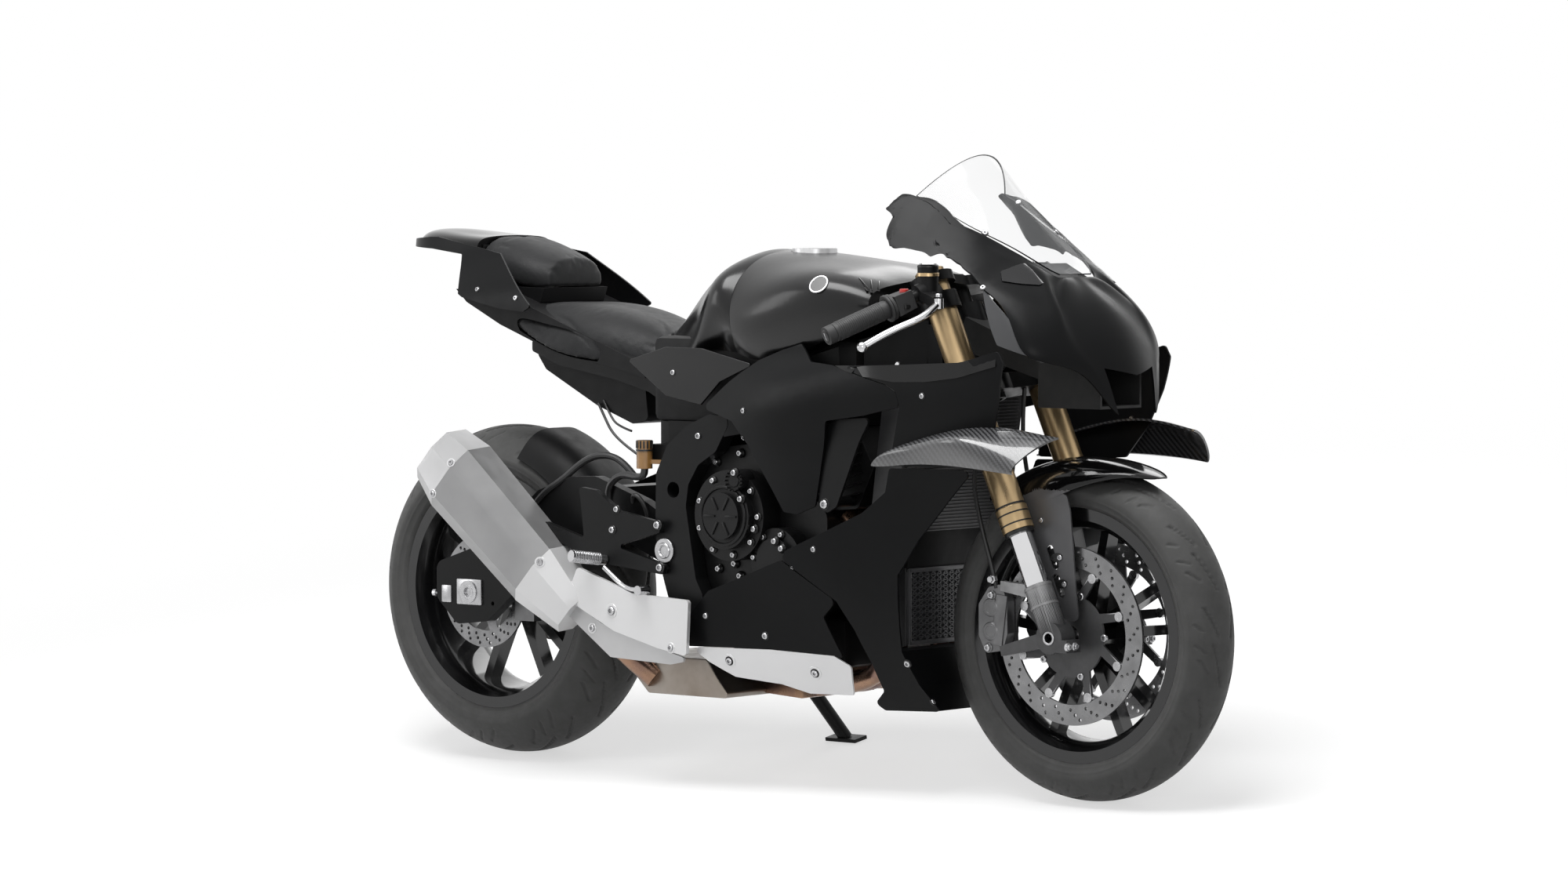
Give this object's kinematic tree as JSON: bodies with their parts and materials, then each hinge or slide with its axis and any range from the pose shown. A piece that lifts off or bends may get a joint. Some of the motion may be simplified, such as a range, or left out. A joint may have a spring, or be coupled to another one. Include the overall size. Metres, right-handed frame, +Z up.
{
  "type": "sport bike",
  "caption": "Faired sport motorcycle on its side stand, with turning wheels, steering and a folding stand.",
  "frame": {"origin": "on the ground, under the middle of the motorcycle's bounding box", "axes": "+X forward along the wheelbase, +Y to the motorcycle's left, +Z up; it leans 10 degrees to its left on its side stand"},
  "size_m": [2.0249, 0.698, 1.1437],
  "materials": {
    "tyre_rubber": "matte",
    "wheel_black": "gloss",
    "disc_steel": "brushed",
    "chain_steel": "oiled",
    "fork_gold": "anodised satin",
    "fork_chrome": "polished",
    "cast_grey": "satin",
    "axle_steel": "satin",
    "frame_black": "satin",
    "engine_black": "satin",
    "radiator_black": "matte",
    "body_matte": "matte",
    "body_satin": "satin",
    "body_gloss": "gloss",
    "inner_plastic": "matte",
    "grip_rubber": "matte",
    "hose_rubber": "braided",
    "seat_cover": "matte",
    "clear_screen": "clear",
    "carbon": "gloss weave",
    "exhaust_steel": "heat tinted",
    "silencer_metal": "satin",
    "cap_metal": "satin",
    "caliper_dark": "satin"
  },
  "bodies": {
    "root": {"belly_pans": "body_matte", "chain": "chain_steel", "engine_block": "engine_black", "engine_covers": "engine_black", "exhaust_box": "exhaust_steel", "exhaust_pipes": "exhaust_steel", "footrests": "frame_black", "fuel_cap": "cap_metal", "fuel_tank": "body_satin", "heat_shields": "silencer_metal", "instrument_panel": "inner_plastic", "lower_fairings": "body_matte", "main_frame": "frame_black", "marker_lamps": "body_gloss", "nose_cowl": "body_matte", "nose_duct": "inner_plastic", "nose_side_panels": "body_matte", "radiators": "radiator_black", "rear_axle": "axle_steel", "rear_brake": "caliper_dark", "rear_hugger": "inner_plastic", "rider_seat": "seat_cover", "seat_hump": "seat_cover", "shock_absorber": "engine_black", "side_covers": "body_satin", "silencer": "silencer_metal", "subframe": "frame_black", "swingarm": "frame_black", "swingarm_pivot": "axle_steel", "tail_base": "inner_plastic", "tail_panels": "body_matte", "tail_top": "body_gloss", "tank_cover": "body_satin", "undertray": "inner_plastic", "upper_fairings": "body_matte", "windscreen": "clear_screen", "winglets": "carbon"},
    "front_wheel": {"front_tyre": "tyre_rubber", "front_rim": "wheel_black", "front_discs": "disc_steel"},
    "rear_wheel": {"rear_tyre": "tyre_rubber", "rear_rim": "wheel_black", "rear_disc": "disc_steel", "rear_sprocket": "chain_steel"},
    "steering": {"fork_tubes": "fork_gold", "fork_stanchions": "fork_chrome", "fork_feet": "cast_grey", "front_axle": "axle_steel", "front_calipers": "cast_grey", "triple_clamps": "frame_black", "front_fender": "body_gloss", "handlebars": "frame_black", "grips": "grip_rubber", "hand_controls": "inner_plastic", "front_hoses": "hose_rubber"},
    "side_stand": {"side_stand": "frame_black"}
  },
  "joints": [
    {"name": "steering", "type": "hinge", "parent": "root", "child": "steering", "pos_m": [0.44941, -0.00427, 0.81103], "axis": [-0.4067, 0.1586, 0.8997], "range_deg": [-24, 24]},
    {"name": "front_wheel_spin", "type": "hinge", "parent": "steering", "child": "front_wheel", "pos_m": [0.7125, -0.09456, 0.29893], "axis": [0, 0.9848, -0.1736], "continuous": true},
    {"name": "rear_wheel_spin", "type": "hinge", "parent": "root", "child": "rear_wheel", "pos_m": [-0.6925, -0.09109, 0.31862], "axis": [0, 0.9848, -0.1736], "continuous": true},
    {"name": "side_stand_fold", "type": "hinge", "parent": "root", "child": "side_stand", "pos_m": [-0.1525, 0.04031, 0.2], "axis": [0, 0.9848, -0.1736], "range_deg": [0, 95]}
  ]
}
